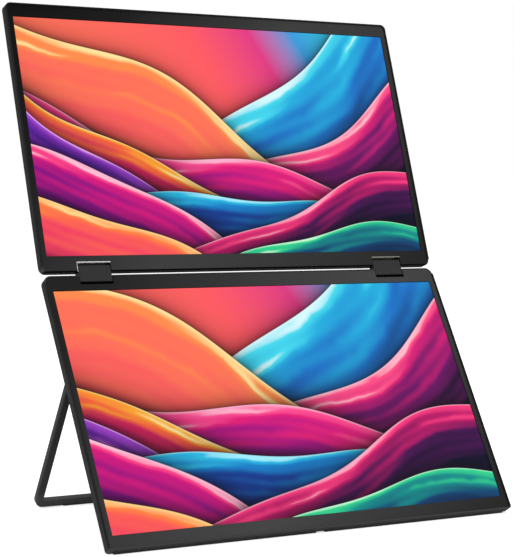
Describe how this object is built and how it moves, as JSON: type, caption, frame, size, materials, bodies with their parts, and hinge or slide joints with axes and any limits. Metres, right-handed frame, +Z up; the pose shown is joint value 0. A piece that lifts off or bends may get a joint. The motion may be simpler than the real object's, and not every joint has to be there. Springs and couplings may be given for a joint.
{
  "type": "dual portable monitor",
  "caption": "Two stacked portable displays joined by geared dual-axis hinges, propped up by a folding U-shaped bail.",
  "frame": {"origin": "on the table, under the middle of the object's box", "axes": "+X to the viewer's right, +Y away from the viewer, +Z up; at rest as pictured, open and standing"},
  "size_m": [0.3562, 0.2059, 0.3924],
  "materials": {
    "cover_metal": "fine bead-blasted, charcoal anodised",
    "bezel_plastic": "matte charcoal",
    "soft_rubber": "soft black",
    "display_glass": "display glass, lit",
    "film_stack": "satin white",
    "circuit_board": "solder mask",
    "port_steel": "plated steel",
    "switch_plastic": "matte",
    "speaker_plastic": "matte",
    "screw_steel": "black zinc",
    "hinge_steel": "ground steel",
    "hinge_cover": "satin charcoal paint",
    "stand_metal": "satin charcoal powder coat",
    "washer_plastic": "matte black",
    "button_plastic": "satin"
  },
  "bodies": {
    "lower_display": {"lower_back_cover": "cover_metal", "lower_front_bezel": "bezel_plastic", "lower_bezel_gasket": "soft_rubber", "lower_display_cell": "display_glass", "lower_backlight_unit": "film_stack", "lower_driver_board": "circuit_board", "lower_usb_c_ports": "port_steel", "lower_hdmi_port": "port_steel", "lower_side_switches": "switch_plastic", "lower_speakers": "speaker_plastic", "lower_cover_screws": "screw_steel", "lower_hinge_bracket_left": "hinge_steel", "lower_hinge_bracket_right": "hinge_steel", "lower_hinge_shaft_left": "hinge_steel", "lower_hinge_shaft_right": "hinge_steel", "stand_pins": "hinge_steel", "stand_washers": "washer_plastic", "lower_foot_strips": "soft_rubber"},
    "hinge_links": {"hinge_block_left": "hinge_cover", "hinge_block_right": "hinge_cover", "hinge_cap_left": "hinge_cover", "hinge_cap_right": "hinge_cover", "hinge_gear_plates": "hinge_steel", "hinge_friction_plates": "hinge_steel"},
    "idlers_a": {"idler_gears_a": "hinge_steel"},
    "idlers_b": {"idler_gears_b": "hinge_steel"},
    "upper_display": {"upper_back_cover": "cover_metal", "upper_front_bezel": "bezel_plastic", "upper_bezel_gasket": "soft_rubber", "upper_display_cell": "display_glass", "upper_backlight_unit": "film_stack", "upper_driver_board": "circuit_board", "upper_usb_c_ports": "port_steel", "upper_hdmi_port": "port_steel", "upper_side_switches": "switch_plastic", "upper_speakers": "speaker_plastic", "upper_cover_screws": "screw_steel", "upper_hinge_bracket_left": "hinge_steel", "upper_hinge_bracket_right": "hinge_steel", "upper_hinge_shaft_left": "hinge_steel", "upper_hinge_shaft_right": "hinge_steel"},
    "stand": {"stand_frame": "stand_metal", "stand_foot_pads": "soft_rubber"},
    "lower_power": {"lower_power_button": "button_plastic"},
    "lower_menu": {"lower_menu_rocker": "button_plastic"},
    "upper_power": {"upper_power_button": "button_plastic"},
    "upper_menu": {"upper_menu_rocker": "button_plastic"}
  },
  "joints": [
    {"name": "lower_hinge", "type": "hinge", "parent": "lower_display", "child": "hinge_links", "pos_m": [0, 0.01743, 0.18193], "axis": [1, 0, 0], "range_deg": [-54.95, 84.05]},
    {"name": "upper_hinge", "type": "hinge", "parent": "hinge_links", "child": "upper_display", "pos_m": [0, 0.02184, 0.19057], "axis": [1, 0, 0], "range_deg": [-61.95, 91.05]},
    {"name": "idler_a_spin", "type": "hinge", "parent": "hinge_links", "child": "idlers_a", "pos_m": [0, 0.0189, 0.18481], "axis": [1, 0, 0], "range_deg": [-61.95, 91.05]},
    {"name": "idler_b_spin", "type": "hinge", "parent": "hinge_links", "child": "idlers_b", "pos_m": [0, 0.02037, 0.18769], "axis": [1, 0, 0], "range_deg": [-91.05, 61.95]},
    {"name": "stand_pivot", "type": "hinge", "parent": "lower_display", "child": "stand", "pos_m": [0, -0.00365, 0.13533], "axis": [1, 0, 0], "range_deg": [-61.5, 8.8]},
    {"name": "lower_power_press", "type": "slide", "parent": "lower_display", "child": "lower_power", "axis": [-1, 0, 0], "range_m": [0, 0.00035], "stiffness_N_per_m": 1500},
    {"name": "lower_menu_rock", "type": "hinge", "parent": "lower_display", "child": "lower_menu", "pos_m": [0.17668, -0.05887, 0.06243], "axis": [0, -0.8387, 0.5446], "range_deg": [-2.5, 2.5], "stiffness_Nm_per_rad": 0.4},
    {"name": "upper_power_press", "type": "slide", "parent": "upper_display", "child": "upper_power", "axis": [-1, 0, 0], "range_m": [0, 0.00035], "stiffness_N_per_m": 1500},
    {"name": "upper_menu_rock", "type": "hinge", "parent": "upper_display", "child": "upper_menu", "pos_m": [0.17668, 0.0739, 0.32244], "axis": [0, -0.933, 0.36], "range_deg": [-2.5, 2.5], "stiffness_Nm_per_rad": 0.4}
  ],
  "couplings": [
    {"joint": "upper_hinge", "follows": "lower_hinge", "ratio": 1},
    {"joint": "idler_a_spin", "follows": "lower_hinge", "ratio": 1},
    {"joint": "idler_b_spin", "follows": "lower_hinge", "ratio": -1}
  ]
}
